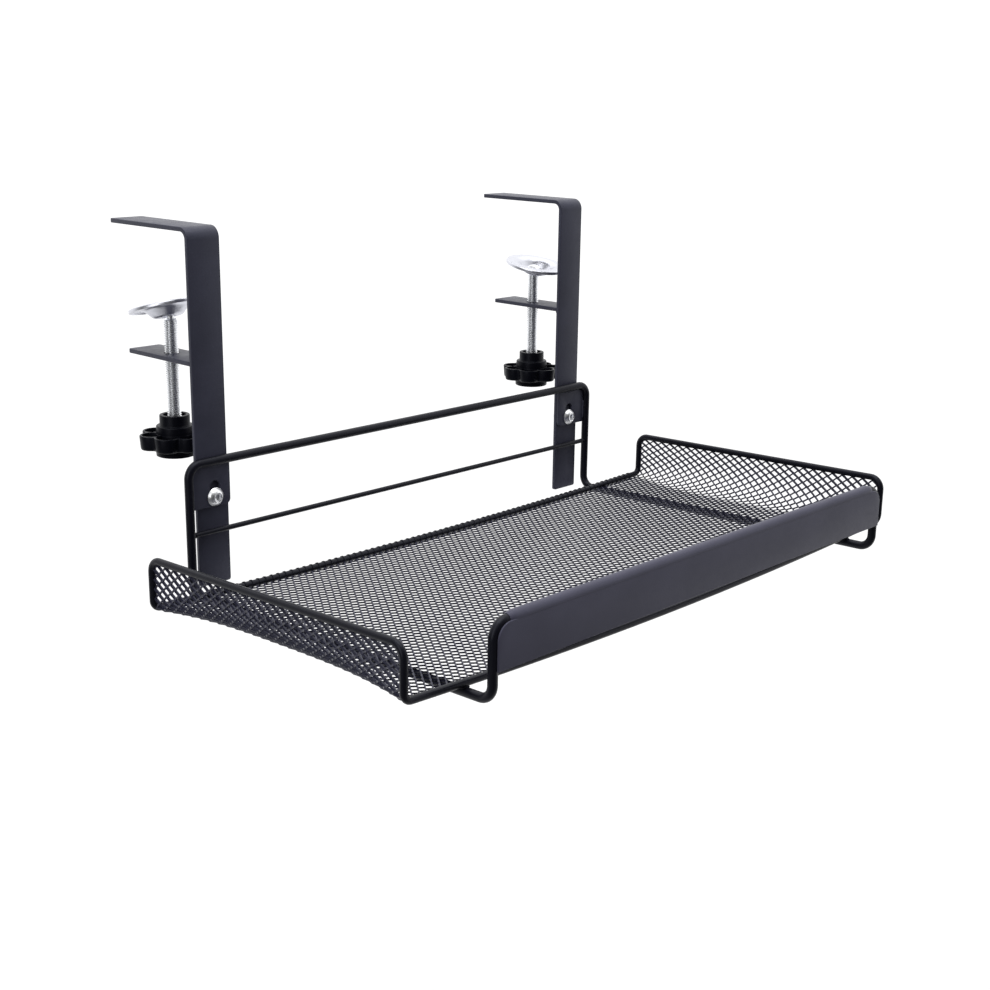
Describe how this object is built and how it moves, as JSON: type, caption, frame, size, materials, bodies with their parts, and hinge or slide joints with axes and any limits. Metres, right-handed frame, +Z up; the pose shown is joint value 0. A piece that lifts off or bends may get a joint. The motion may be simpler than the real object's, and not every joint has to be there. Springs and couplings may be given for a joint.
{
  "type": "under desk cable tray",
  "caption": "Clamp-on under desk cable tray: an expanded metal basket in a bent wire cradle, hung on slotted flat bar brackets with star knob screw clamps.",
  "frame": {"origin": "on the desk's top edge, midway between the clamps, where the arms' undersides meet the plane of the bars' rear faces", "axes": "+X right along the desk's edge as seen from in front, +Y in over the desk, +Z up"},
  "size_m": [0.416, 0.3082, 0.2033],
  "materials": {
    "bar_paint": "satin black powder coat",
    "wire_paint": "satin black powder coat",
    "lip_paint": "satin dark grey powder coat",
    "zinc": "bright zinc",
    "pad_plating": "bright nickel",
    "knob_plastic": "moulded gloss black"
  },
  "bodies": {
    "brackets": {"left_bracket": "bar_paint", "right_bracket": "bar_paint", "left_screw_plate": "bar_paint", "right_screw_plate": "bar_paint", "left_slot_screw": "zinc", "right_slot_screw": "zinc", "left_slot_nut": "zinc", "right_slot_nut": "zinc"},
    "tray": {"cradle_wire": "wire_paint", "middle_wire": "wire_paint", "left_slot_tab": "bar_paint", "right_slot_tab": "bar_paint", "tray_rim": "wire_paint", "tray_mesh": "wire_paint", "lip_panel": "lip_paint"},
    "left_swivel": {"left_pad_rivet": "zinc"},
    "left_handscrew": {"left_clamp_screw": "zinc", "left_knob": "knob_plastic"},
    "left_pad_body": {"left_pad": "pad_plating"},
    "right_swivel": {"right_pad_rivet": "zinc"},
    "right_handscrew": {"right_clamp_screw": "zinc", "right_knob": "knob_plastic"},
    "right_pad_body": {"right_pad": "pad_plating"}
  },
  "joints": [
    {"name": "tray_height", "type": "slide", "parent": "brackets", "child": "tray", "axis": [0, 0, 1], "range_m": [-0.006, 0]},
    {"name": "left_clamp_travel", "type": "slide", "parent": "brackets", "child": "left_swivel", "axis": [0, 0, 1], "range_m": [-0.0165, 0.032]},
    {"name": "left_clamp_turn", "type": "hinge", "parent": "left_swivel", "child": "left_handscrew", "pos_m": [-0.15, 0.031, -0.0492], "axis": [0, 0, 1], "range_deg": [-4752.1, 9216.1]},
    {"name": "left_pad_tilt", "type": "hinge", "parent": "left_swivel", "child": "left_pad_body", "pos_m": [-0.15, 0.031, -0.0492], "axis": [1, 0, 0], "range_deg": [-0.5, 33.5]},
    {"name": "right_clamp_travel", "type": "slide", "parent": "brackets", "child": "right_swivel", "axis": [0, 0, 1], "range_m": [-0.0165, 0.032]},
    {"name": "right_clamp_turn", "type": "hinge", "parent": "right_swivel", "child": "right_handscrew", "pos_m": [0.15, 0.031, -0.0492], "axis": [0, 0, 1], "range_deg": [-4752.1, 9216.1]},
    {"name": "right_pad_tilt", "type": "hinge", "parent": "right_swivel", "child": "right_pad_body", "pos_m": [0.15, 0.031, -0.0492], "axis": [1, 0, 0], "range_deg": [-28.5, 5.5]}
  ],
  "couplings": [
    {"joint": "left_clamp_turn", "follows": "left_clamp_travel", "rad_per_m": 5026.5},
    {"joint": "right_clamp_turn", "follows": "right_clamp_travel", "rad_per_m": 5026.5}
  ]
}
